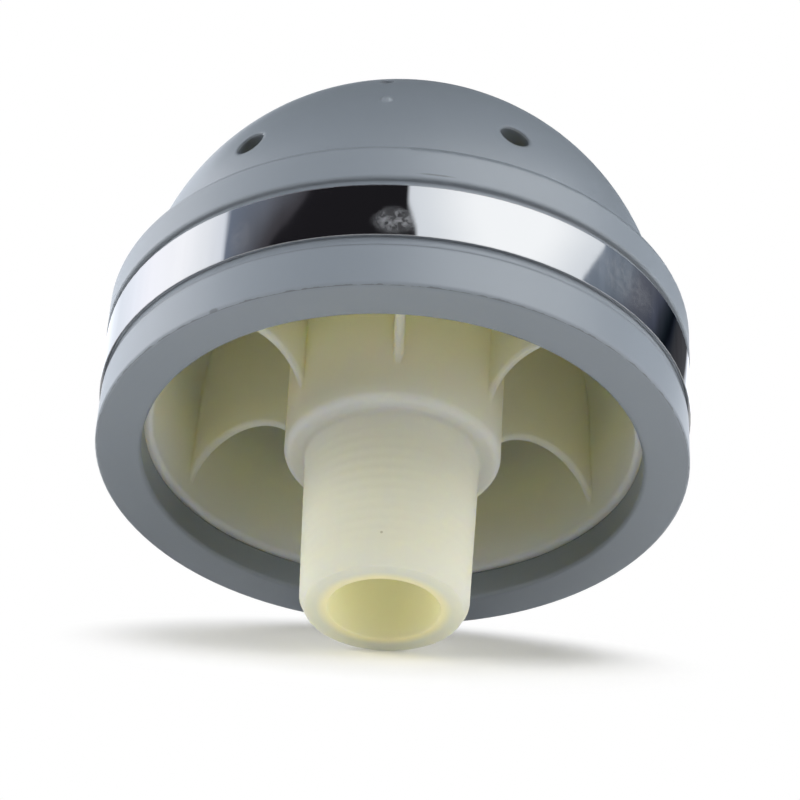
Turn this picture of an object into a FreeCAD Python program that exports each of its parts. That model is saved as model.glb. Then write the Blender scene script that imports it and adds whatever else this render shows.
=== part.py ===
import FreeCAD, Part
import math
import os

from FreeCAD import Vector

# Coarse bubble aerator in millimetres. The nozzle's end face is at z = 0 and the dome points up.
# A domed body with a threaded nozzle carries a rubber cap, which a crimped band holds in a groove.

# Nozzle: a 3/4 inch male pipe taper
NOZZLE_LENGTH = 27.5
NOZZLE_END_RADIUS = 13.0
PIPE_TAPER = 1 / 16
NOZZLE_CHAMFER_WIDTH = 0.7
NOZZLE_CHAMFER_HEIGHT = 1.5
NOZZLE_ROOT_ROUND = 0.8
BORE_RADIUS = 8.75

# Hub, whose flat face stops against the fitting
HUB_RADIUS = 17.25
HUB_EDGE_ROUND = 1.3
HUB_RECESS = 1.7
HUB_DRAFT_DEG = 0.8

# Body: wall, shell, pockets and the arched ribs between them
WALL_THICKNESS = 5.2
WALL_EDGE_ROUND = 0.9
SHELL_THICKNESS = 3.0
BODY_SHOULDER_CHAMFER = 1.0
RIB_COUNT = 6
RIB_TURN_DEG = -90.0
RIB_THICKNESS = 1.6
RIB_EDGE_CHAMFER = 0.45
ARCH_RISE = 11.6
ARCH_OVERRUN = 0.15
AIR_PORT_RADIUS = 4.0
CROWN_THICKNESS = 5.0

# Rubber cap: skirt, lip under the body, shoulder and dome
CAP_RADIUS = 47.0
SKIRT_THICKNESS = 3.4
DOME_RUBBER = 2.8
LIP_WIDTH = 7.25
LIP_HEIGHT = 5.1
RIM_EDGE_CHAMFER = 0.35
SHOULDER_STEP = 0.4
SHOULDER_HEIGHT = 26.7
SHOULDER_ROUND = 1.2
CREASE_ROUND = 1.5
SHOULDER_LEDGE = 3.5
DOME_CENTRE_HEIGHT = 24.8
CAP_CLEARANCE = 0.05

# Air holes through the rubber, in two staggered rings, and the low nub that the mould leaves
LOWER_HOLE_RADIUS = 2.5
UPPER_HOLE_RADIUS = 1.25
HOLES_PER_RING = 6
HOLE_TURN_DEG = -97.0
UPPER_RING_POLAR_DEG = 52.0
LOWER_RING_POLAR_DEG = 72.7
NUB_BALL_RADIUS = 1.25
NUB_HEIGHT = 0.5
NUB_TURN_DEG = -95.7
NUB_POLAR_DEG = 65.4

# Band, the groove that holds it, and the pinched ear that closes it at the back
BAND_WIDTH = 9.6
BAND_THICKNESS = 0.6
BAND_SIDE_GAP = 1.4
BAND_CLEARANCE = 0.05
GROOVE_DEPTH = 0.35
GROOVE_LOW_HEIGHT = 7.65
GROOVE_EDGE_CHAMFER = 0.2
EAR_TURN_DEG = 90.0
EAR_HEAD_RADIUS = 2.6
EAR_NECK_WIDTH = 2.0
EAR_RISE = 3.2
EAR_ROOT_ROUND = 0.5

# What follows from the sizes above; a name in _Z is a height over the nozzle's end face
HUB_FACE_Z = NOZZLE_LENGTH
RIM_Z = HUB_FACE_Z - HUB_RECESS
BODY_FLOOR_Z = RIM_Z + LIP_HEIGHT
GROOVE_LOW_Z = RIM_Z + GROOVE_LOW_HEIGHT
BAND_LOW_Z = GROOVE_LOW_Z + BAND_SIDE_GAP
BAND_TOP_Z = BAND_LOW_Z + BAND_WIDTH
GROOVE_TOP_Z = BAND_TOP_Z + BAND_SIDE_GAP
SHOULDER_Z = RIM_Z + SHOULDER_HEIGHT
DOME_CENTRE_Z = RIM_Z + DOME_CENTRE_HEIGHT
BODY_SHOULDER_Z = SHOULDER_Z - SKIRT_THICKNESS
DOME_RADIUS = CAP_RADIUS - SHOULDER_LEDGE
LIP_INNER_RADIUS = CAP_RADIUS - LIP_WIDTH
BODY_RADIUS = CAP_RADIUS - SKIRT_THICKNESS
BODY_DOME_RADIUS = DOME_RADIUS - DOME_RUBBER - CAP_CLEARANCE
BODY_CROWN_Z = DOME_CENTRE_Z + BODY_DOME_RADIUS
POCKET_RADIUS = BODY_RADIUS - WALL_THICKNESS
ROOF_RADIUS = BODY_DOME_RADIUS - SHELL_THICKNESS
GROOVE_RADIUS = CAP_RADIUS - GROOVE_DEPTH
ARCH_RADIUS = (POCKET_RADIUS - HUB_RADIUS) / 2 + ARCH_OVERRUN
ARCH_MIDDLE = (POCKET_RADIUS + HUB_RADIUS) / 2
ARCH_CENTRE_Z = BODY_FLOOR_Z + ARCH_RISE - ARCH_RADIUS
BAND_INNER_RADIUS = GROOVE_RADIUS + BAND_CLEARANCE
BAND_OUTER_RADIUS = BAND_INNER_RADIUS + BAND_THICKNESS

ORIGIN = Vector(0, 0, 0)
UP = Vector(0, 0, 1)


def at(radius, z):
    """A point of an outline that is turned about the axis."""
    return Vector(radius, 0, z)


def path(points):
    """Straight edges through the points."""
    return [Part.makeLine(a, b) for a, b in zip(points, points[1:])]


def bow(centre, radius, from_deg, to_deg):
    """An arc of an outline; 0 degrees points outwards and 90 degrees points up."""
    stops = []
    for degrees in (from_deg, (from_deg + to_deg) / 2, to_deg):
        turn = math.radians(degrees)
        stops.append(centre + at(radius * math.cos(turn), radius * math.sin(turn)))
    return Part.Arc(*stops).toShape()


def turned(edges):
    """The solid that a closed outline sweeps round the axis."""
    return Part.Face(Part.Wire(edges)).revolve(ORIGIN, UP, 360)


def spread(shape, count, first_deg):
    """Equal copies of the shape round the axis."""
    return [shape.rotated(ORIGIN, UP, first_deg + 360 * k / count) for k in range(count)]


def body_side(gap):
    """The body's outer side from crown to floor, grown by a gap: dome, shoulder, wall, band groove."""
    ball = BODY_DOME_RADIUS + gap
    wall = BODY_RADIUS + gap
    top = BODY_SHOULDER_Z + gap
    foot_deg = math.degrees(math.asin((top - DOME_CENTRE_Z) / ball))
    dome = bow(at(0, DOME_CENTRE_Z), ball, 90, foot_deg)
    return [dome] + path([
        dome.Vertexes[-1].Point,
        at(wall - BODY_SHOULDER_CHAMFER, top),
        at(wall, top - BODY_SHOULDER_CHAMFER),
        at(wall, GROOVE_TOP_Z - gap),
        at(wall - GROOVE_DEPTH, GROOVE_TOP_Z - gap),
        at(wall - GROOVE_DEPTH, GROOVE_LOW_Z + gap),
        at(wall, GROOVE_LOW_Z + gap),
        at(wall, BODY_FLOOR_Z - gap),
    ])


def pocket_ring():
    """The hollow between hub and wall: a roof that follows the dome, and a wall rounded at its foot."""
    rise = math.tan(math.radians(HUB_DRAFT_DEG))
    hub_height = DOME_CENTRE_Z + math.sqrt(ROOF_RADIUS ** 2 - HUB_RADIUS ** 2) - BODY_FLOOR_Z
    hub_top_deg = math.degrees(math.acos((HUB_RADIUS + rise * hub_height) / ROOF_RADIUS))
    below_z = BODY_FLOOR_Z - 1
    roof = bow(at(0, DOME_CENTRE_Z), ROOF_RADIUS, hub_top_deg, 0)
    foot = bow(at(POCKET_RADIUS + WALL_EDGE_ROUND, BODY_FLOOR_Z + WALL_EDGE_ROUND), WALL_EDGE_ROUND, 180, 270)
    hub_side = path([at(HUB_RADIUS, below_z), at(HUB_RADIUS, BODY_FLOOR_Z), roof.Vertexes[0].Point])
    wall_side = path([roof.Vertexes[-1].Point, foot.Vertexes[0].Point])
    mouth = path([foot.Vertexes[-1].Point, at(POCKET_RADIUS + WALL_EDGE_ROUND, below_z), at(HUB_RADIUS, below_z)])
    return turned(hub_side + [roof] + wall_side + [foot] + mouth)


def rib():
    """One web from hub to wall along +X, with an arch as its lower edge."""
    low_z = max(ARCH_CENTRE_Z, BODY_FLOOR_Z + WALL_EDGE_ROUND)
    height = DOME_CENTRE_Z + ROOF_RADIUS - low_z
    margin = 2
    length = 2 * (ARCH_RADIUS + margin)
    side_y = -RIB_THICKNESS / 2
    web = Part.makeBox(length, RIB_THICKNESS, height, Vector(ARCH_MIDDLE - length / 2, side_y, low_z))
    arch = Part.makeCylinder(ARCH_RADIUS, RIB_THICKNESS, Vector(ARCH_MIDDLE, side_y, ARCH_CENTRE_Z), Vector(0, 1, 0))
    web = web.cut(arch)
    arcs = [edge for edge in web.Edges if isinstance(edge.Curve, Part.Circle)]
    return web.makeChamfer(RIB_EDGE_CHAMFER, arcs)


def hub_and_nozzle():
    """The hub's foot and the tapered nozzle under it, without the bore."""
    root_radius = NOZZLE_END_RADIUS + PIPE_TAPER / 2 * NOZZLE_LENGTH
    chamfer_radius = NOZZLE_END_RADIUS + PIPE_TAPER / 2 * NOZZLE_CHAMFER_HEIGHT
    neck = bow(at(root_radius + NOZZLE_ROOT_ROUND, HUB_FACE_Z - NOZZLE_ROOT_ROUND), NOZZLE_ROOT_ROUND, 180, 90)
    edge = bow(at(HUB_RADIUS - HUB_EDGE_ROUND, HUB_FACE_Z + HUB_EDGE_ROUND), HUB_EDGE_ROUND, -90, 0)
    nozzle = path([
        at(0, 0),
        at(NOZZLE_END_RADIUS - NOZZLE_CHAMFER_WIDTH, 0),
        at(chamfer_radius, NOZZLE_CHAMFER_HEIGHT),
        neck.Vertexes[0].Point,
    ])
    face = path([neck.Vertexes[-1].Point, edge.Vertexes[0].Point])
    column = path([edge.Vertexes[-1].Point, at(HUB_RADIUS, BODY_FLOOR_Z), at(0, BODY_FLOOR_Z), at(0, 0)])
    return turned(nozzle + [neck] + face + [edge] + column)


def air_way():
    """The bore through nozzle and hub, which narrows to the port at the crown."""
    neck_z = BODY_CROWN_Z - CROWN_THICKNESS
    return turned(path([
        at(0, -1),
        at(BORE_RADIUS, -1),
        at(BORE_RADIUS, neck_z - (BORE_RADIUS - AIR_PORT_RADIUS)),
        at(AIR_PORT_RADIUS, neck_z),
        at(AIR_PORT_RADIUS, BODY_CROWN_Z + 1),
        at(0, BODY_CROWN_Z + 1),
        at(0, -1),
    ]))


def diffuser_body():
    """The moulded body, hollow underneath round its hub and stiffened by the arched ribs."""
    hollow = pocket_ring().cut(spread(rib(), RIB_COUNT, RIB_TURN_DEG))
    floor = path([at(BODY_RADIUS, BODY_FLOOR_Z), at(0, BODY_FLOOR_Z), at(0, BODY_CROWN_Z)])
    solid = turned(body_side(0) + floor).cut(hollow)
    solid = solid.fuse(hub_and_nozzle()).removeSplitter()
    return solid.cut(air_way())


def outwards(polar_deg):
    """The direction square to the dome at an angle from its top, towards +X."""
    polar = math.radians(polar_deg)
    return at(math.sin(polar), math.cos(polar))


def hole_cutters():
    """A short rod square to the dome at each air hole."""
    length = DOME_RUBBER + 3
    stagger = 180 / HOLES_PER_RING
    rings = ((UPPER_HOLE_RADIUS, UPPER_RING_POLAR_DEG, 0), (LOWER_HOLE_RADIUS, LOWER_RING_POLAR_DEG, stagger))
    rods = []
    for radius, polar_deg, turn_deg in rings:
        outward = outwards(polar_deg)
        start = at(0, DOME_CENTRE_Z) + outward * (BODY_DOME_RADIUS - 1)
        rod = Part.makeCylinder(radius, length, start, outward)
        rods += spread(rod, HOLES_PER_RING, HOLE_TURN_DEG + turn_deg)
    return rods


def nub():
    """The ball whose top stands out of the dome where the rubber was fed into the mould."""
    centre = at(0, DOME_CENTRE_Z) + outwards(NUB_POLAR_DEG) * (DOME_RADIUS + NUB_HEIGHT - NUB_BALL_RADIUS)
    return Part.makeSphere(NUB_BALL_RADIUS, centre).rotated(ORIGIN, UP, NUB_TURN_DEG)


def membrane_cap():
    """The rubber moulding: lip, skirt with the band groove, shoulder and pierced dome."""
    top_radius = CAP_RADIUS + SHOULDER_STEP
    skirt = path([
        at(LIP_INNER_RADIUS, BODY_FLOOR_Z - CAP_CLEARANCE),
        at(LIP_INNER_RADIUS, RIM_Z + RIM_EDGE_CHAMFER),
        at(LIP_INNER_RADIUS + RIM_EDGE_CHAMFER, RIM_Z),
        at(CAP_RADIUS - RIM_EDGE_CHAMFER, RIM_Z),
        at(CAP_RADIUS, RIM_Z + RIM_EDGE_CHAMFER),
        at(CAP_RADIUS, GROOVE_LOW_Z - GROOVE_EDGE_CHAMFER),
        at(CAP_RADIUS - GROOVE_EDGE_CHAMFER, GROOVE_LOW_Z),
        at(GROOVE_RADIUS, GROOVE_LOW_Z),
        at(GROOVE_RADIUS, GROOVE_TOP_Z),
        at(top_radius - GROOVE_EDGE_CHAMFER, GROOVE_TOP_Z),
        at(top_radius, GROOVE_TOP_Z + GROOVE_EDGE_CHAMFER),
        at(top_radius, SHOULDER_Z - SHOULDER_ROUND),
    ])
    edge = bow(at(top_radius - SHOULDER_ROUND, SHOULDER_Z - SHOULDER_ROUND), SHOULDER_ROUND, 0, 90)
    # the crease is an arc that touches the flat shoulder and the dome
    crease_z = SHOULDER_Z + CREASE_ROUND
    crease_r = math.sqrt((DOME_RADIUS + CREASE_ROUND) ** 2 - (crease_z - DOME_CENTRE_Z) ** 2)
    touch_deg = math.degrees(math.asin((crease_z - DOME_CENTRE_Z) / (DOME_RADIUS + CREASE_ROUND)))
    crease = bow(at(crease_r, crease_z), CREASE_ROUND, 270, 180 + touch_deg)
    dome = bow(at(0, DOME_CENTRE_Z), DOME_RADIUS, touch_deg, 90)
    flat = path([edge.Vertexes[-1].Point, crease.Vertexes[0].Point])
    through = path([dome.Vertexes[-1].Point, at(0, BODY_CROWN_Z + CAP_CLEARANCE)])
    lip = path([at(BODY_RADIUS + CAP_CLEARANCE, BODY_FLOOR_Z - CAP_CLEARANCE), skirt[0].Vertexes[0].Point])
    outline = skirt + [edge] + flat + [crease, dome] + through + body_side(CAP_CLEARANCE) + lip
    return turned(outline).cut(hole_cutters()).fuse(nub())


def ear():
    """The pinched loop of the band along +X: a round head on a narrow neck, bent from the strip."""
    head_x = BAND_OUTER_RADIUS + EAR_RISE
    low = Vector(head_x, 0, BAND_LOW_Z)
    head = Part.makeCylinder(EAR_HEAD_RADIUS, BAND_WIDTH, low)
    neck = Part.makeBox(EAR_RISE + BAND_THICKNESS, EAR_NECK_WIDTH, BAND_WIDTH,
                        Vector(BAND_OUTER_RADIUS - BAND_THICKNESS / 2, -EAR_NECK_WIDTH / 2, BAND_LOW_Z))
    bend = Part.makeCylinder(EAR_HEAD_RADIUS - BAND_THICKNESS, BAND_WIDTH, low)
    return head.fuse(neck), bend


def clamp_band():
    """The strip round the groove, closed by its ear."""
    ring = turned(path([
        at(BAND_INNER_RADIUS, BAND_LOW_Z),
        at(BAND_OUTER_RADIUS, BAND_LOW_Z),
        at(BAND_OUTER_RADIUS, BAND_TOP_Z),
        at(BAND_INNER_RADIUS, BAND_TOP_Z),
        at(BAND_INNER_RADIUS, BAND_LOW_Z),
    ]))
    loop, bend = ear()
    solid = ring.fuse(loop).cut(bend).removeSplitter()
    roots = []
    for edge in solid.Edges:
        place = edge.valueAt(edge.FirstParameter)
        upright = isinstance(edge.Curve, Part.Line) and abs(edge.tangentAt(edge.FirstParameter).z) > 0.99
        on_band = abs(math.hypot(place.x, place.y) - BAND_OUTER_RADIUS) < 0.01
        if upright and on_band and abs(place.y) > 0.01:
            roots.append(edge)
    solid = solid.makeFillet(EAR_ROOT_ROUND, roots)
    return solid.rotated(ORIGIN, UP, EAR_TURN_DEG)


os.makedirs("parts", exist_ok=True)
NODES = {
    "diffuser_body": diffuser_body,
    "membrane_cap": membrane_cap,
    "clamp_band": clamp_band,
}
for name, make in NODES.items():
    make().exportStep(f"parts/{name}.step")
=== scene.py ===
import math

import bpy
from mathutils import Matrix, Vector


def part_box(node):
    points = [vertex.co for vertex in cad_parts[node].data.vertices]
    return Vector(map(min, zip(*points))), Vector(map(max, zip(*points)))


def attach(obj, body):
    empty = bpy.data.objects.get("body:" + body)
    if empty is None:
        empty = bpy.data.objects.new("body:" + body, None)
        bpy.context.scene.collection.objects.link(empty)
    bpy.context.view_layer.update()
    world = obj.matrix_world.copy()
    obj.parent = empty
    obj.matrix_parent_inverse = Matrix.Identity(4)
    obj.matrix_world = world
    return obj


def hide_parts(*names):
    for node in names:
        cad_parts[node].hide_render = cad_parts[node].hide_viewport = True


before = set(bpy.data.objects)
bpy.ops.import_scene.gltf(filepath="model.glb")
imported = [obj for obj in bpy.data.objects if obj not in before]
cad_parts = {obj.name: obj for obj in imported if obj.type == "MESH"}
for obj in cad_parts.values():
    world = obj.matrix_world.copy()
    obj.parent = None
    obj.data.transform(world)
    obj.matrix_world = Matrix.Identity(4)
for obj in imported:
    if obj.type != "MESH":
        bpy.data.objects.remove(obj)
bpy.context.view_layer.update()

MM = 0.001

# Places of the part, in metres. The nozzle's end face is at z = 0 and the dome points up.
RIM_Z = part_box("membrane_cap")[0].z
RIM_RADIUS = 47.0 * MM
BAND_LOW_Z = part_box("clamp_band")[0].z
BAND_TOP_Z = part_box("clamp_band")[1].z
DOME_RADIUS = 43.5 * MM
DOME_CENTRE_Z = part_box("membrane_cap")[1].z - DOME_RADIUS
NOZZLE_END_RADIUS = 13.0 * MM
NOZZLE_CHAMFER = 0.7 * MM
NOZZLE_FACETS = 48
BORE_RADIUS = 8.75 * MM

# 3/4 inch pipe thread: 14 turns an inch. The solid nozzle widens by 1 in 15.5 on the diameter.
THREAD_PITCH = 25.4 / 14 * MM
THREAD_TAPER = 1 / 15.5
THREAD_START_Z = 1.9 * MM
THREAD_TURNS = 13
THREAD_FOOT = 0.86 * THREAD_PITCH
THREAD_CREST = 0.42 * THREAD_PITCH
THREAD_RELIEF = 0.012 * MM
THREAD_SUNK = 0.05 * MM

# Corners of a mesh that lie closer together than this are one corner.
WELD = 0.001 * MM
SMOOTH_BELOW_DEG = 35

# The photograph's view: from below the rim, a little rolled, as a long lens sees it
VIEW_BELOW_DEG = 34.55
VIEW_ROLL_DEG = 3.2
VIEW_DISTANCE = 406.3 * MM
SENSOR_MM = 36.0
PICTURE_PX = 800
FOCAL_PX = 2563.9
RIM_CENTRE_PX = (391.6, 470.2)

# The table, which the camera sees fade to plain white between two distances from the nozzle's end
FLOOR_SIZE = 6.0
FLOOR_LIFT = 0.05
FLOOR_FADE = (28 * MM, 53 * MM)

# Soft boxes round the part: name, azimuth and elevation in degrees, radiance
SOFT_BOXES = (
    ("behind_left", -140, 5, 5.2), ("left", -100, 5, 5.2), ("front_left", -60, 5, 5.05),
    ("front_right", 60, 5, 4.2), ("right", 100, 5, 5.2), ("low_right", 60, -30, 3.7),
    ("low_front", 0, -60, 0.2), ("high_behind_left", -140, 40, 4.2), ("high_left", -100, 40, 1.3),
    ("high_front", 20, 40, 3.25), ("high_right", 60, 40, 0.75),
)
SOFT_BOX_WIDE_DEG = 38
SOFT_BOX_HIGH_DEG = 33
SOFT_BOX_DISTANCE = 1.0
AMBIENT = 0.02

# The room that the band mirrors: a round wall, in metres, and its tones by azimuth in degrees. The tones
# stand as listed at WALL_LEVEL_Z, and lean by so many degrees a metre above and below it.
ROOM_RADIUS = 1.0
ROOM_DEPTH = 1.2
ROOM_MIDDLE_Z = 0.8
ROOM_SIDES = 96
ROOM_LEVEL = 2.05
CEILING_Z = 1.39
WALL_LEVEL_Z = 0.835
WALL_LEAN = -330.0
LEAN_BEGINS_DEG = (-72.0, -55.0)
FOLD_SWAY_DEG = 3.0
BLOTCHES_BEGIN_DEG = (60.0, 80.0)
BLOTCH_SHADES = (0.86, 1.16)
WALL_TONES = (
    (-180, "#d8dce4"), (-139, "#c8cdd5"), (-125, "#dfe2ea"), (-113, "#f0f0f6"), (-94, "#f6f6f9"),
    (-82, "#e7e9ed"), (-72, "#d6dae1"), (-70.9, "#6a7280"), (-61, "#5e6169"), (-51, "#403f43"),
    (-47.4, "#3c3a3e"), (-46.6, "#1b1a1d"), (60, "#1a191a"), (72, "#767f8b"), (98, "#666e78"),
    (108, "#53565f"), (118, "#4a4d56"), (125, "#3f434f"), (130, "#2c3038"), (136, "#141a20"),
    (140, "#05080e"), (142.5, "#181c24"), (146, "#2a2c30"), (152, "#313134"), (166, "#38393c"),
    (172, "#d8dce4"),
)

# The room's white cloth has slanting edges: the azimuths low down and high up, and the heights between.
CLOTH_LEFT_DEG = (4.2, 0.5)
CLOTH_LEFT_Z = (0.830, 0.858)
CLOTH_RIGHT_DEG = (72.0, 84.0)
CLOTH_RIGHT_Z = (0.812, 0.845)

# Marks on the round walls: azimuth and height of the middle, then half of the width and of the height,
# in degrees and metres. A finger mark also has its strength. The grain makes a mark's border ragged.
# The nick is a notch that the mesh lacks: its shade is painted on as a dark spot.
NICK = (-35.7, RIM_Z + 0.25 * MM, 1.0, 0.4 * MM)
SCUFF = (5.3, 46.8 * MM, 3.4, 0.22 * MM)
FINGER_MARKS = (
    (1.3, (-2.0, 37.6 * MM, 4.0, 2.6 * MM)),
    (0.3, (-31.0, 38.2 * MM, 2.6, 3.4 * MM)),
    (0.5, (46.0, 40.0 * MM, 9.0, 4.4 * MM)),
)
MARK_RAGGEDNESS = 0.8
MARK_BORDER = 0.5

# Where the rubber looks darker: a thin line low on the skirt's outside, and painted shade in the step under
# the band and in the holes, whose walls lie above the shoulder and under the dome's outside
SKIRT_LINE_LOW_Z = RIM_Z - 0.12 * MM
SKIRT_LINE_WANDER = 0.55 * MM
SKIRT_OUTSIDE = RIM_RADIUS - 0.3 * MM
STEP_SHADE_LINE_Z = BAND_LOW_Z - 1.52 * MM
STEP_SHADE_LINE_HALF = 0.15 * MM
HOLES_ABOVE_Z = BAND_TOP_Z + 6 * MM
HOLE_WALL_RADIUS = DOME_RADIUS - 0.35 * MM
DARKENING = 0.55

# The ivory body: a speck on its nozzle, where the pockets and the bore get a painted yellow glow for light
# through the walls, and how much of its light comes through the nozzle and the body, which meet between two
# heights
SPECK_PLACE = Vector((-0.99, -13.13, 5.45)) * MM
SPECK_RADII = (0.16 * MM, 0.26 * MM)
POCKET_PAINTED_GLOW_Z = (RIM_Z + 2 * MM, RIM_Z + 18 * MM)
BORE_PAINTED_GLOW_RADII = (BORE_RADIUS, BORE_RADIUS + 2 * MM)
LIGHT_THROUGH = (0.52, 0.12)
LIGHT_THROUGH_Z = (RIM_Z - 4 * MM, RIM_Z + 8 * MM)

# Sockets of a Mix node for colours, which has other ones by the same names
SHARE, COLOUR_A, COLOUR_B, MIXED = 0, 6, 7, 2

# Rays that a finish sends out to round an edge off
EDGE_SAMPLES = 4


def srgb(code):
    """Linear colour of an sRGB hex value."""
    parts = [int(code[k:k + 2], 16) / 255 for k in (1, 3, 5)]
    return [v / 12.92 if v <= 0.04045 else ((v + 0.055) / 1.055) ** 2.4 for v in parts] + [1.0]


def add(tree, kind, inputs=None, **settings):
    """Adds a node; inputs gives each socket a value or another node's output."""
    made = tree.nodes.new(kind)
    for name, value in settings.items():
        setattr(made, name, value)
    for socket, value in (inputs or {}).items():
        if isinstance(value, bpy.types.NodeSocket):
            tree.links.new(value, made.inputs[socket])
        else:
            made.inputs[socket].default_value = value
    return made


def blank_material(name):
    """An empty node material and its tree."""
    material = bpy.data.materials.new(name)
    material.use_nodes = True
    material.node_tree.nodes.clear()
    return material, material.node_tree


def round_axis(tree, place):
    """Each point's azimuth in degrees, 0 towards the photograph's side and 90 on its right, and height."""
    side = add(tree, "ShaderNodeSeparateXYZ", {0: place})
    front = add(tree, "ShaderNodeMath", {0: side.outputs["Y"], 1: -1.0}, operation="MULTIPLY")
    turn = add(tree, "ShaderNodeMath", {0: side.outputs["X"], 1: front.outputs[0]}, operation="ARCTAN2")
    azimuth = add(tree, "ShaderNodeMath", {0: turn.outputs[0]}, operation="DEGREES")
    return azimuth.outputs[0], side.outputs["Z"]


def from_axis(tree, place):
    """Each point's distance from the part's axis."""
    flat = add(tree, "ShaderNodeVectorMath", {0: place, 1: (1, 1, 0)}, operation="MULTIPLY")
    return add(tree, "ShaderNodeVectorMath", {0: flat.outputs[0]}, operation="LENGTH").outputs["Value"]


def direction(azimuth_deg, elevation_deg):
    """A direction from the part's axis: azimuth 0 faces the photograph's side, 90 its right side."""
    azimuth, elevation = math.radians(azimuth_deg), math.radians(elevation_deg)
    flat = math.cos(elevation)
    return Vector((flat * math.sin(azimuth), -flat * math.cos(azimuth), math.sin(elevation)))


def work_on(item):
    """Makes one object the only one selected, and the active one."""
    bpy.ops.object.select_all(action="DESELECT")
    item.select_set(True)
    bpy.context.view_layer.objects.active = item


def select_corners(item, chosen):
    """Opens the active object in edit mode with only the chosen corners selected, by their place."""
    bpy.ops.object.mode_set(mode="EDIT")
    bpy.ops.mesh.select_all(action="DESELECT")
    bpy.ops.mesh.select_mode(type="VERT")
    bpy.ops.object.mode_set(mode="OBJECT")
    for corner in item.data.vertices:
        corner.select = chosen(corner.co)
    bpy.ops.object.mode_set(mode="EDIT")


# ---- camera, table and light


def photo_camera():
    """The camera that sees the rim's centre, size and tilt where the photograph has them."""
    rim_centre = Vector((0, 0, RIM_Z))
    forward = -direction(0, -VIEW_BELOW_DEG)
    right = Vector((1, 0, 0))
    up = right.cross(forward)
    level = Matrix((right, up, -forward)).transposed()
    off_x, off_y = (px - PICTURE_PX / 2 for px in RIM_CENTRE_PX)
    turn = math.atan2(off_x, FOCAL_PX)
    lift = math.atan2(off_y, math.hypot(FOCAL_PX, off_x))
    facing = (level @ Matrix.Rotation(math.radians(VIEW_ROLL_DEG), 3, "Z")
              @ Matrix.Rotation(lift, 3, "X") @ Matrix.Rotation(turn, 3, "Y"))
    bpy.ops.object.camera_add()
    camera = bpy.context.object
    camera.matrix_world = Matrix.Translation(rim_centre - forward * VIEW_DISTANCE) @ facing.to_4x4()
    camera.data.sensor_width = SENSOR_MM
    camera.data.lens = SENSOR_MM * FOCAL_PX / PICTURE_PX
    bpy.context.scene.camera = camera


def white_table():
    """Matt white paint, clear from below. The camera sees it a little lifted, and plain white further off."""
    material, tree = blank_material("white studio table")
    paint = add(tree, "ShaderNodeBsdfDiffuse", {"Color": srgb("#f3f3f3")})
    lift = add(tree, "ShaderNodeEmission", {"Color": srgb("#ffffff"), "Strength": FLOOR_LIFT})
    lifted = add(tree, "ShaderNodeAddShader", {0: paint.outputs[0], 1: lift.outputs[0]})
    white = add(tree, "ShaderNodeEmission", {"Color": srgb("#ffffff"), "Strength": 1.0})
    place = add(tree, "ShaderNodeTexCoord").outputs["Object"]
    reach = add(tree, "ShaderNodeVectorMath", {0: place}, operation="LENGTH")
    fade_start, fade_end = FLOOR_FADE
    far = add(tree, "ShaderNodeMapRange", {
        "Value": reach.outputs["Value"], "From Min": fade_start, "From Max": fade_end},
        interpolation_type="SMOOTHSTEP")
    faded = add(tree, "ShaderNodeMixShader", {0: far.outputs[0], 1: lifted.outputs[0], 2: white.outputs[0]})
    path = add(tree, "ShaderNodeLightPath")
    seen = add(tree, "ShaderNodeMixShader", {
        0: path.outputs["Is Camera Ray"], 1: paint.outputs[0], 2: faded.outputs[0]})
    side = add(tree, "ShaderNodeNewGeometry")
    clear = add(tree, "ShaderNodeBsdfTransparent")
    one_sided = add(tree, "ShaderNodeMixShader", {
        0: side.outputs["Backfacing"], 1: seen.outputs[0], 2: clear.outputs[0]})
    add(tree, "ShaderNodeOutputMaterial", {"Surface": one_sided.outputs[0]})
    return material


def studio_floor():
    """The table that the part lies on, touching the nozzle's end and the rim."""
    touch_nozzle = Vector((0, NOZZLE_END_RADIUS - NOZZLE_CHAMFER, 0))
    touch_rim = Vector((0, RIM_RADIUS, RIM_Z))
    across = Vector((1, 0, 0))
    slope = (touch_rim - touch_nozzle).normalized()
    tilt = Matrix((across, slope, across.cross(slope))).transposed()
    bpy.ops.mesh.primitive_plane_add(size=FLOOR_SIZE)
    floor = bpy.context.object
    floor.name = "studio_floor"
    floor.matrix_world = Matrix.Translation(touch_nozzle) @ tilt.to_4x4()
    floor.data.materials.append(white_table())


def studio_world():
    """White where the camera, gloss or glass looks, and a plain level for the light on the part."""
    world = bpy.data.worlds.new("white_studio")
    bpy.context.scene.world = world
    world.use_nodes = True
    tree = world.node_tree
    tree.nodes.clear()
    path = add(tree, "ShaderNodeLightPath")
    seen = path.outputs["Is Camera Ray"]
    for ray in ("Is Glossy Ray", "Is Transmission Ray"):
        seen = add(tree, "ShaderNodeMath", {0: seen, 1: path.outputs[ray]}, operation="MAXIMUM").outputs[0]
    level = add(tree, "ShaderNodeMapRange", {"Value": seen, "To Min": AMBIENT, "To Max": 1.0})
    light = add(tree, "ShaderNodeBackground", {"Color": srgb("#ffffff"), "Strength": level.outputs[0]})
    add(tree, "ShaderNodeOutputWorld", {"Surface": light.outputs[0]})


def span(angle_deg, distance):
    """The width that fills an angle at a distance."""
    return 2 * distance * math.tan(math.radians(angle_deg / 2))


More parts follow.
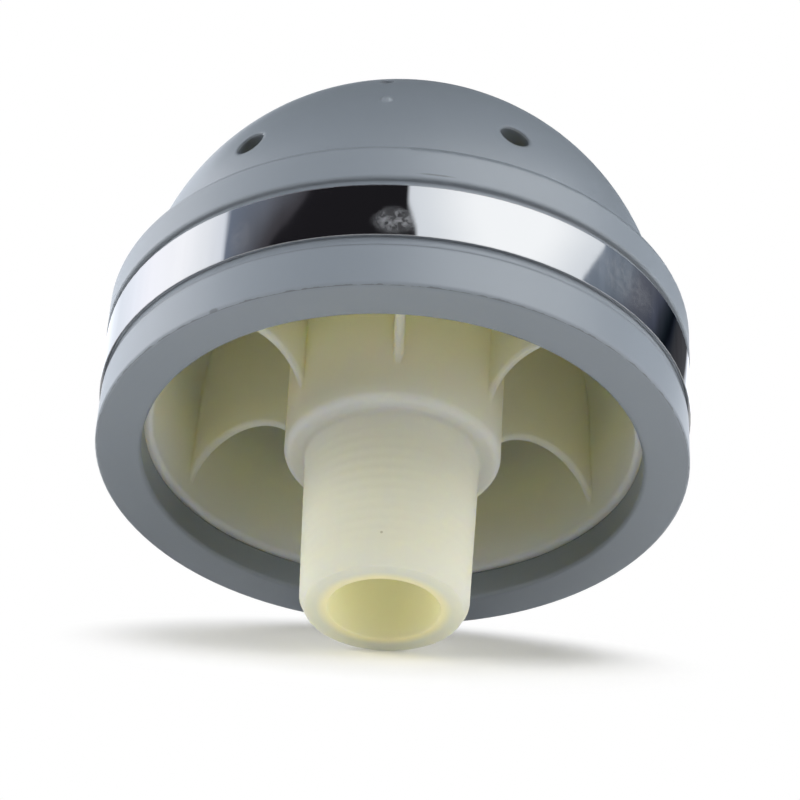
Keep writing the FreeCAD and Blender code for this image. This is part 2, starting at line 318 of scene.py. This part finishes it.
def soft_box(name, azimuth_deg, elevation_deg, radiance):
    """A lamp of even light that faces the rim's centre and fills the same angles wherever it stands."""
    bpy.ops.object.light_add(type="AREA")
    lamp = bpy.context.object
    lamp.name = f"soft_box_{name}"
    away = direction(azimuth_deg, elevation_deg)
    place = Vector((0, 0, RIM_Z)) + away * SOFT_BOX_DISTANCE
    lamp.matrix_world = Matrix.Translation(place) @ away.to_track_quat("Z", "Y").to_matrix().to_4x4()
    lamp.data.shape = "RECTANGLE"
    lamp.data.size = span(SOFT_BOX_WIDE_DEG, SOFT_BOX_DISTANCE)
    lamp.data.size_y = span(SOFT_BOX_HIGH_DEG, SOFT_BOX_DISTANCE)
    lamp.data.energy = radiance * math.pi * lamp.data.size * lamp.data.size_y
    lamp.visible_glossy = False


def room_wall():
    """The room's round wall with its flat ceiling, open below."""
    bpy.ops.mesh.primitive_cylinder_add(vertices=ROOM_SIDES, radius=ROOM_RADIUS, depth=ROOM_DEPTH,
                                        end_fill_type="NOTHING", location=(0, 0, ROOM_MIDDLE_Z))
    room = bpy.context.object
    room.name = "mirrored_room"
    bpy.ops.object.transform_apply(location=True, rotation=False, scale=False)
    select_corners(room, lambda place: place.z > ROOM_MIDDLE_Z)
    bpy.ops.mesh.edge_face_add()
    bpy.ops.object.mode_set(mode="OBJECT")
    return room


def wall_tones(tree, place, azimuth, height):
    """White card on the left, black cloth in front and grey wall on the right, with uneven borders."""
    folds = add(tree, "ShaderNodeTexNoise", {"Vector": place, "Scale": 1 / (200 * MM), "Detail": 3.0})
    sway = add(tree, "ShaderNodeMapRange", {
        "Value": folds.outputs["Fac"], "To Min": -FOLD_SWAY_DEG, "To Max": FOLD_SWAY_DEG})
    swayed = add(tree, "ShaderNodeMath", {0: azimuth, 1: sway.outputs[0]}, operation="ADD")
    # The left card's edge stands upright, and what is right of it leans.
    lean = add(tree, "ShaderNodeMapRange", {
        "Value": azimuth, "From Min": LEAN_BEGINS_DEG[0], "From Max": LEAN_BEGINS_DEG[1],
        "To Max": WALL_LEAN})
    above = add(tree, "ShaderNodeMath", {0: height, 1: WALL_LEVEL_Z}, operation="SUBTRACT")
    leant = add(tree, "ShaderNodeMath", {0: above.outputs[0], 1: lean.outputs[0], 2: swayed.outputs[0]},
                operation="MULTIPLY_ADD")
    turn = add(tree, "ShaderNodeMapRange", {"Value": leant.outputs[0], "From Min": -180.0, "From Max": 180.0})
    wall = add(tree, "ShaderNodeValToRGB", {"Fac": turn.outputs[0]})
    while len(wall.color_ramp.elements) < len(WALL_TONES):
        wall.color_ramp.elements.new(1.0)
    for stop, (degrees, code) in zip(wall.color_ramp.elements, WALL_TONES):
        stop.position, stop.color = (degrees + 180) / 360, srgb(code)
    blotch = add(tree, "ShaderNodeTexNoise", {
        "Vector": place, "Scale": 1 / (90 * MM), "Detail": 4.0, "Roughness": 0.6})
    shade = add(tree, "ShaderNodeMapRange", {
        "Value": blotch.outputs["Fac"], "From Min": 0.3, "From Max": 0.7,
        "To Min": BLOTCH_SHADES[0], "To Max": BLOTCH_SHADES[1]})
    # The blotches show fully on the grey wall alone.
    share = add(tree, "ShaderNodeMapRange", {
        "Value": azimuth, "From Min": BLOTCHES_BEGIN_DEG[0], "From Max": BLOTCHES_BEGIN_DEG[1],
        "To Min": 0.1})
    blotched = add(tree, "ShaderNodeMix", {
        SHARE: share.outputs[0], COLOUR_A: wall.outputs["Color"], COLOUR_B: shade.outputs[0]},
        data_type="RGBA", blend_type="MULTIPLY")
    return blotched.outputs[MIXED]


def white_cloth(tree, azimuth, height):
    """The white cloth right of the middle: where it hangs, between slanting edges, and its colour."""
    left = add(tree, "ShaderNodeMapRange", {
        "Value": height, "From Min": CLOTH_LEFT_Z[0], "From Max": CLOTH_LEFT_Z[1],
        "To Min": CLOTH_LEFT_DEG[0], "To Max": CLOTH_LEFT_DEG[1]}, interpolation_type="SMOOTHSTEP")
    right = add(tree, "ShaderNodeMapRange", {
        "Value": height, "From Min": CLOTH_RIGHT_Z[0], "From Max": CLOTH_RIGHT_Z[1],
        "To Min": CLOTH_RIGHT_DEG[0], "To Max": CLOTH_RIGHT_DEG[1]})
    past_left = add(tree, "ShaderNodeMath", {0: azimuth, 1: left.outputs[0]}, operation="SUBTRACT")
    before_right = add(tree, "ShaderNodeMath", {0: right.outputs[0], 1: azimuth}, operation="SUBTRACT")
    inside = add(tree, "ShaderNodeMath", {0: past_left.outputs[0], 1: before_right.outputs[0]},
                 operation="MINIMUM")
    hung = add(tree, "ShaderNodeMapRange", {"Value": inside.outputs[0], "From Min": -0.6, "From Max": 0.9})
    middle = add(tree, "ShaderNodeMapRange", {"Value": inside.outputs[0], "From Max": 30.0},
                 interpolation_type="SMOOTHSTEP")
    cloth = add(tree, "ShaderNodeMix", {
        SHARE: middle.outputs[0], COLOUR_A: srgb("#d9dde1"), COLOUR_B: srgb("#fbfcfc")}, data_type="RGBA")
    return hung.outputs[0], cloth.outputs[MIXED]


def mirrored_room():
    """Card, cloth and wall round the table, lit from within, which only the gloss on the part shows."""
    room = room_wall()
    material, tree = blank_material("card and cloth round the table")
    place = add(tree, "ShaderNodeTexCoord").outputs["Object"]
    azimuth, height = round_axis(tree, place)
    tones = wall_tones(tree, place, azimuth, height)
    hung, cloth = white_cloth(tree, azimuth, height)
    colour = add(tree, "ShaderNodeMix", {SHARE: hung, COLOUR_A: tones, COLOUR_B: cloth}, data_type="RGBA")
    overhead = add(tree, "ShaderNodeMath", {0: height, 1: CEILING_Z}, operation="GREATER_THAN")
    colour = add(tree, "ShaderNodeMix", {
        SHARE: overhead.outputs[0], COLOUR_A: colour.outputs[MIXED], COLOUR_B: srgb("#26282b")},
        data_type="RGBA")
    glow = add(tree, "ShaderNodeEmission", {"Color": colour.outputs[MIXED], "Strength": ROOM_LEVEL})
    add(tree, "ShaderNodeOutputMaterial", {"Surface": glow.outputs[0]})
    room.data.materials.append(material)
    room.visible_camera = room.visible_diffuse = False
    room.visible_shadow = room.visible_transmission = False


bpy.context.scene.view_settings.view_transform = "Standard"

photo_camera()
studio_floor()
studio_world()
for box in SOFT_BOXES:
    soft_box(*box)
mirrored_room()


# ---- finishes


def patch(tree, azimuth, height, mark, grain):
    """1 in the middle of a mark on a round wall, falling to 0 at its ragged border."""
    middle_deg, middle_z, half_deg, half_z = mark
    across = add(tree, "ShaderNodeMapRange", {
        "Value": azimuth, "From Min": middle_deg - half_deg, "From Max": middle_deg + half_deg,
        "To Min": -1.0}, clamp=False)
    along = add(tree, "ShaderNodeMapRange", {
        "Value": height, "From Min": middle_z - half_z, "From Max": middle_z + half_z,
        "To Min": -1.0}, clamp=False)
    both = add(tree, "ShaderNodeCombineXYZ", {"X": across.outputs[0], "Y": along.outputs[0]})
    reach = add(tree, "ShaderNodeVectorMath", {0: both.outputs[0]}, operation="LENGTH")
    ragged = add(tree, "ShaderNodeMath", {0: grain, 1: MARK_RAGGEDNESS, 2: reach.outputs["Value"]},
                 operation="MULTIPLY_ADD")
    return add(tree, "ShaderNodeMapRange", {
        "Value": ragged.outputs[0], "From Min": 1.0, "From Max": 1.0 + MARK_BORDER,
        "To Min": 1.0, "To Max": 0.0}).outputs[0]


def rubber_marks_and_shade(tree, place):
    """Where the rubber is painted darker: a line low on the skirt, the nick's painted shade, a scuff, and
    painted shade in the step under the band and on the holes' walls.
    """
    azimuth, height = round_axis(tree, place)
    grain = add(tree, "ShaderNodeTexNoise", {
        "Vector": place, "Scale": 1 / (1.5 * MM), "Detail": 3.0}).outputs["Fac"]
    # A thin dark line along the skirt's lower edge, with a ragged top
    edge = add(tree, "ShaderNodeMath", {0: grain, 1: SKIRT_LINE_WANDER, 2: SKIRT_LINE_LOW_Z}, operation="MULTIPLY_ADD")
    skirt_line = add(tree, "ShaderNodeMath", {0: height, 1: edge.outputs[0]}, operation="LESS_THAN")
    # Painted shade of the nick
    nick = patch(tree, azimuth, height, NICK, grain)
    lowest = add(tree, "ShaderNodeMath", {0: skirt_line.outputs[0], 1: nick}, operation="MAXIMUM")
    outside = add(tree, "ShaderNodeMath", {0: from_axis(tree, place), 1: SKIRT_OUTSIDE},
                  operation="GREATER_THAN")
    rim = add(tree, "ShaderNodeMath", {0: lowest.outputs[0], 1: outside.outputs[0]}, operation="MULTIPLY")
    # Painted shade along a thin line in the step under the band
    step = add(tree, "ShaderNodeMath", {0: height, 1: STEP_SHADE_LINE_Z, 2: STEP_SHADE_LINE_HALF}, operation="COMPARE")
    scuff = patch(tree, azimuth, height, SCUFF, grain)
    # Painted shade on the holes' walls, under the dome's outside
    reach = add(tree, "ShaderNodeVectorMath", {0: place, 1: (0, 0, DOME_CENTRE_Z)}, operation="DISTANCE")
    under = add(tree, "ShaderNodeMath", {0: reach.outputs["Value"], 1: HOLE_WALL_RADIUS},
                operation="LESS_THAN")
    above = add(tree, "ShaderNodeMath", {0: height, 1: HOLES_ABOVE_Z}, operation="GREATER_THAN")
    hole = add(tree, "ShaderNodeMath", {0: under.outputs[0], 1: above.outputs[0]}, operation="MULTIPLY")
    marks = rim.outputs[0]
    for mark in (step.outputs[0], scuff, hole.outputs[0]):
        marks = add(tree, "ShaderNodeMath", {0: marks, 1: mark}, operation="MAXIMUM").outputs[0]
    return marks


def moulded_rubber():
    """Grey rubber from a mould: satin, a little bluish, with a fine even skin and soft edges."""
    material, tree = blank_material("moulded grey rubber")
    place = add(tree, "ShaderNodeTexCoord").outputs["Object"]
    cloud = add(tree, "ShaderNodeTexNoise", {"Vector": place, "Scale": 1 / (24 * MM), "Detail": 3.0})
    tone = add(tree, "ShaderNodeMix", {
        SHARE: cloud.outputs["Fac"], COLOUR_A: srgb("#717981"), COLOUR_B: srgb("#79818a")},
        data_type="RGBA")
    # The tone darkens where painted shade, the nick, the scuff and the line low on the skirt lie
    dark = add(tree, "ShaderNodeMath", {0: rubber_marks_and_shade(tree, place), 1: DARKENING}, operation="MULTIPLY")
    tone = add(tree, "ShaderNodeMix", {
        SHARE: dark.outputs[0], COLOUR_A: tone.outputs[MIXED], COLOUR_B: srgb("#2c3138")},
        data_type="RGBA")
    skin = add(tree, "ShaderNodeTexNoise", {"Vector": place, "Scale": 1 / (0.5 * MM), "Detail": 2.0})
    soft = add(tree, "ShaderNodeBevel", {"Radius": 0.9 * MM}, samples=EDGE_SAMPLES)
    relief = add(tree, "ShaderNodeBump", {
        "Height": skin.outputs["Fac"], "Strength": 0.12, "Distance": 0.02 * MM, "Normal": soft.outputs[0]})
    shader = add(tree, "ShaderNodeBsdfPrincipled", {
        "Base Color": tone.outputs[MIXED], "Roughness": 0.37, "IOR": 1.75, "Normal": relief.outputs[0]})
    add(tree, "ShaderNodeOutputMaterial", {"Surface": shader.outputs[0]})
    return material


def ivory_abs():
    """Natural ABS from a mould: a satin ivory that light enters and leaves, so that thin walls glow
    and the edges look soft. The bore and the pockets high up get a painted yellow glow."""
    material, tree = blank_material("moulded ivory abs")
    place = add(tree, "ShaderNodeTexCoord").outputs["Object"]
    height = add(tree, "ShaderNodeSeparateXYZ", {0: place}).outputs["Z"]
    # Painted glow: up the pockets and near the bore the tone turns yellow
    depth = add(tree, "ShaderNodeMapRange", {
        "Value": height, "From Min": POCKET_PAINTED_GLOW_Z[0], "From Max": POCKET_PAINTED_GLOW_Z[1]})
    bore = add(tree, "ShaderNodeMapRange", {
        "Value": from_axis(tree, place), "From Min": BORE_PAINTED_GLOW_RADII[0],
        "From Max": BORE_PAINTED_GLOW_RADII[1], "To Min": 1.0, "To Max": 0.0}, interpolation_type="SMOOTHSTEP")
    painted_glow = add(tree, "ShaderNodeMath", {0: depth.outputs[0], 1: bore.outputs[0]}, operation="MAXIMUM")
    cloud = add(tree, "ShaderNodeTexNoise", {"Vector": place, "Scale": 1 / (18 * MM), "Detail": 3.0})
    yellow = add(tree, "ShaderNodeMix", {
        SHARE: cloud.outputs["Fac"], COLOUR_A: srgb("#faf5ce"), COLOUR_B: srgb("#fcf7d3")},
        data_type="RGBA")
    tone = add(tree, "ShaderNodeMix", {
        SHARE: painted_glow.outputs[0], COLOUR_A: srgb("#dfe0da"), COLOUR_B: yellow.outputs[MIXED]},
        data_type="RGBA")
    spot = add(tree, "ShaderNodeVectorMath", {0: place, 1: SPECK_PLACE}, operation="DISTANCE")
    speck = add(tree, "ShaderNodeMapRange", {
        "Value": spot.outputs["Value"], "From Min": SPECK_RADII[0], "From Max": SPECK_RADII[1],
        "To Min": 0.85, "To Max": 0.0})
    tone = add(tree, "ShaderNodeMix", {
        SHARE: speck.outputs[0], COLOUR_A: tone.outputs[MIXED], COLOUR_B: srgb("#4a3c2c")},
        data_type="RGBA")
    soft = add(tree, "ShaderNodeBevel", {"Radius": 0.6 * MM}, samples=EDGE_SAMPLES)
    skin = add(tree, "ShaderNodeBsdfPrincipled", {
        "Base Color": tone.outputs[MIXED], "Roughness": 0.45, "IOR": 1.53, "Specular IOR Level": 0.14,
        "Normal": soft.outputs[0], "Subsurface Weight": 1.0, "Subsurface Radius": (9.0, 7.6, 3.6),
        "Subsurface Scale": MM})
    # The light through is painted yellow in the same places
    glow = add(tree, "ShaderNodeMix", {
        SHARE: painted_glow.outputs[0], COLOUR_A: srgb("#e0e3df"), COLOUR_B: srgb("#fdf4cd")}, data_type="RGBA")
    through = add(tree, "ShaderNodeBsdfTranslucent", {"Color": glow.outputs[MIXED]})
    # More light comes through the nozzle, which stands free, than through the body.
    share = add(tree, "ShaderNodeMapRange", {
        "Value": height, "From Min": LIGHT_THROUGH_Z[0], "From Max": LIGHT_THROUGH_Z[1],
        "To Min": LIGHT_THROUGH[0], "To Max": LIGHT_THROUGH[1]})
    wall = add(tree, "ShaderNodeMixShader", {0: share.outputs[0], 1: skin.outputs[0], 2: through.outputs[0]})
    add(tree, "ShaderNodeOutputMaterial", {"Surface": wall.outputs[0]})
    return material


def polished_stainless():
    """Polished stainless strip: a mirror with faint rolling lines, slow waves and a few finger marks."""
    material, tree = blank_material("polished stainless strip")
    steel = srgb("#b2b3b5")
    place = add(tree, "ShaderNodeTexCoord").outputs["Object"]
    azimuth, height = round_axis(tree, place)
    # Real rolling lines are finer. They are drawn 0.12 mm apart, so that they show.
    rolled = add(tree, "ShaderNodeMapping", {
        "Vector": place, "Scale": (1 / (40 * MM), 1 / (40 * MM), 1 / (0.12 * MM))})
    lines = add(tree, "ShaderNodeTexNoise", {"Vector": rolled.outputs[0], "Scale": 1.0, "Detail": 3.0})
    gloss = add(tree, "ShaderNodeMapRange", {"Value": lines.outputs["Fac"], "To Min": 0.015, "To Max": 0.05})
    smear = add(tree, "ShaderNodeTexNoise", {
        "Vector": place, "Scale": 1 / (1.0 * MM), "Detail": 6.0, "Distortion": 0.4}).outputs["Fac"]
    touched = 0.0
    for strength, spot in FINGER_MARKS:
        mark = add(tree, "ShaderNodeMath", {0: patch(tree, azimuth, height, spot, smear), 1: strength},
                   operation="MULTIPLY")
        touched = add(tree, "ShaderNodeMath", {0: touched, 1: mark.outputs[0]},
                      operation="MAXIMUM").outputs[0]
    wrinkles = add(tree, "ShaderNodeMapRange", {
        "Value": smear, "From Min": 0.40, "From Max": 0.62, "To Min": 0.1, "To Max": 0.5})
    grease = add(tree, "ShaderNodeMath", {0: touched, 1: wrinkles.outputs[0]}, operation="MULTIPLY")
    waves = add(tree, "ShaderNodeTexNoise", {"Vector": place, "Scale": 1 / (9 * MM), "Detail": 1.0})
    flat = add(tree, "ShaderNodeBump", {
        "Height": waves.outputs["Fac"], "Strength": 1.0, "Distance": 0.006 * MM})
    soft = add(tree, "ShaderNodeBevel", {"Radius": 0.18 * MM, "Normal": flat.outputs[0]},
               samples=EDGE_SAMPLES)
    mirror = add(tree, "ShaderNodeBsdfPrincipled", {
        "Base Color": steel, "Metallic": 1.0, "Roughness": gloss.outputs[0], "Normal": soft.outputs[0]})
    dulled = add(tree, "ShaderNodeBsdfPrincipled", {"Base Color": steel, "Metallic": 1.0, "Roughness": 0.5})
    shader = add(tree, "ShaderNodeMixShader", {
        0: grease.outputs[0], 1: mirror.outputs[0], 2: dulled.outputs[0]})
    add(tree, "ShaderNodeOutputMaterial", {"Surface": shader.outputs[0]})
    return material


RUBBER = moulded_rubber()
ABS = ivory_abs()
STAINLESS = polished_stainless()
for node, finish in {"membrane_cap": RUBBER, "diffuser_body": ABS, "clamp_band": STAINLESS}.items():
    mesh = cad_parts[node].data
    mesh.materials.clear()
    mesh.materials.append(finish)


# ---- pieces


def thread_ridge():
    """The pipe thread's crests: one low ridge that winds up the tapered nozzle, sunk a little into it."""
    middle = NOZZLE_END_RADIUS + (THREAD_RELIEF - THREAD_SUNK) / 2
    bpy.ops.mesh.primitive_plane_add(size=1, location=(middle, 0, THREAD_START_Z),
                                     rotation=(math.pi / 2, 0, 0))
    ridge = bpy.context.object
    ridge.name = "thread_ridge"
    bpy.ops.transform.resize(value=(THREAD_RELIEF + THREAD_SUNK, 1, THREAD_FOOT))
    bpy.ops.object.transform_apply(location=True, rotation=True, scale=True)
    select_corners(ridge, lambda place: place.x > middle)
    bpy.ops.transform.resize(value=(1, 1, THREAD_CREST / THREAD_FOOT))
    bpy.ops.mesh.select_all(action="SELECT")
    bpy.ops.mesh.delete(type="ONLY_FACE")
    bpy.ops.object.mode_set(mode="OBJECT")
    # One step for each of the nozzle's facets, so that the ridge lies evenly on them
    wind = ridge.modifiers.new("wind", "SCREW")
    wind.screw_offset = THREAD_PITCH
    wind.iterations = THREAD_TURNS
    wind.steps = wind.render_steps = NOZZLE_FACETS
    bpy.ops.object.modifier_apply(modifier="wind")
    bpy.ops.object.mode_set(mode="EDIT")
    bpy.ops.mesh.select_all(action="SELECT")
    bpy.ops.mesh.remove_doubles(threshold=WELD)
    bpy.ops.mesh.fill_holes(sides=0)
    bpy.ops.mesh.normals_make_consistent(inside=False)
    bpy.ops.object.mode_set(mode="OBJECT")
    # The modifier widens by its factor over the ridge's own height, counted from z = 0.
    taper = ridge.modifiers.new("taper", "SIMPLE_DEFORM")
    taper.deform_method = "TAPER"
    taper.deform_axis = "Z"
    heights = [corner.co.z for corner in ridge.data.vertices]
    taper.factor = THREAD_TAPER / 2 / NOZZLE_END_RADIUS * (max(heights) - min(heights))
    bpy.ops.object.modifier_apply(modifier="taper")
    return ridge


def threaded_body():
    """The moulded body with its thread, one piece of plastic, so the light passes through both."""
    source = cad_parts["diffuser_body"]
    body = bpy.data.objects.new("threaded_body", source.data.copy())
    bpy.context.scene.collection.objects.link(body)
    work_on(body)
    bpy.ops.object.mode_set(mode="EDIT")
    bpy.ops.mesh.select_all(action="SELECT")
    bpy.ops.mesh.remove_doubles(threshold=WELD)
    bpy.ops.object.mode_set(mode="OBJECT")
    bpy.ops.mesh.customdata_custom_splitnormals_clear()
    bpy.ops.object.select_all(action="DESELECT")
    ridge = thread_ridge()
    join = body.modifiers.new("join", "BOOLEAN")
    join.operation = "UNION"
    join.solver = "EXACT"
    join.object = ridge
    work_on(body)
    bpy.ops.object.modifier_apply(modifier="join")
    bpy.data.objects.remove(ridge)
    bpy.ops.object.shade_smooth_by_angle(angle=math.radians(SMOOTH_BELOW_DEG))
    body.data.materials.clear()
    body.data.materials.append(ABS)
    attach(body, "root")
    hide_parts("diffuser_body")


threaded_body()
